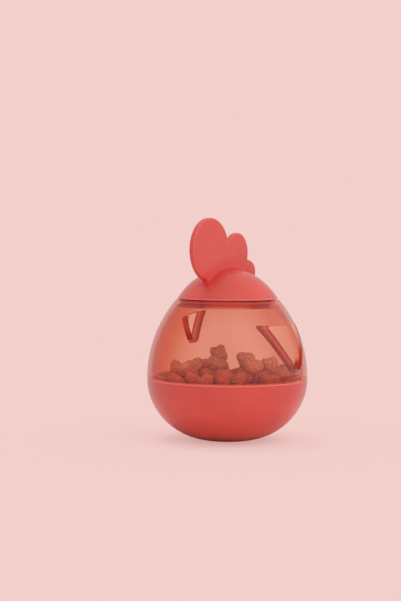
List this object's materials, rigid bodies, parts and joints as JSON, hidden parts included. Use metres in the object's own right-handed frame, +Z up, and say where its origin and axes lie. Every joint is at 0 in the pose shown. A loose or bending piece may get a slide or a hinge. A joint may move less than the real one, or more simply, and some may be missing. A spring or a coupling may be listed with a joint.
{
  "type": "cat treat dispenser toy",
  "caption": "Egg-shaped self-righting treat dispenser for cats, with a weighted base, a clear shell with outlets and a lift-off lid with a rooster's comb.",
  "frame": {"origin": "middle of the flat foot that the egg stands on", "axes": "+Z up along the egg's axis, -Y towards the front of the comb"},
  "size_m": [0.0836, 0.0836, 0.1153],
  "materials": {
    "coral_plastic": "satin moulded",
    "tinted_plastic": "clear, tinted, polished",
    "iron": "plain",
    "steel": "zinc plated"
  },
  "bodies": {
    "base": {"base_bowl": "coral_plastic", "base_tray": "coral_plastic", "ballast": "iron", "ballast_screws": "steel"},
    "shell": {"clear_shell": "tinted_plastic"},
    "plug": {"lid_liner": "coral_plastic"},
    "lid": {"lid_cap": "coral_plastic"}
  },
  "joints": [
    {"name": "shell_twist", "type": "hinge", "parent": "base", "child": "shell", "pos_m": [0, 0, 0.0323], "axis": [0, 0, 1], "range_deg": [0, 30]},
    {"name": "lid_lift", "type": "slide", "parent": "shell", "child": "plug", "axis": [0, 0, 1], "range_m": [0, 0.045]},
    {"name": "lid_turn", "type": "hinge", "parent": "plug", "child": "lid", "pos_m": [0, 0, 0.0731], "axis": [0, 0, 1], "continuous": true}
  ]
}
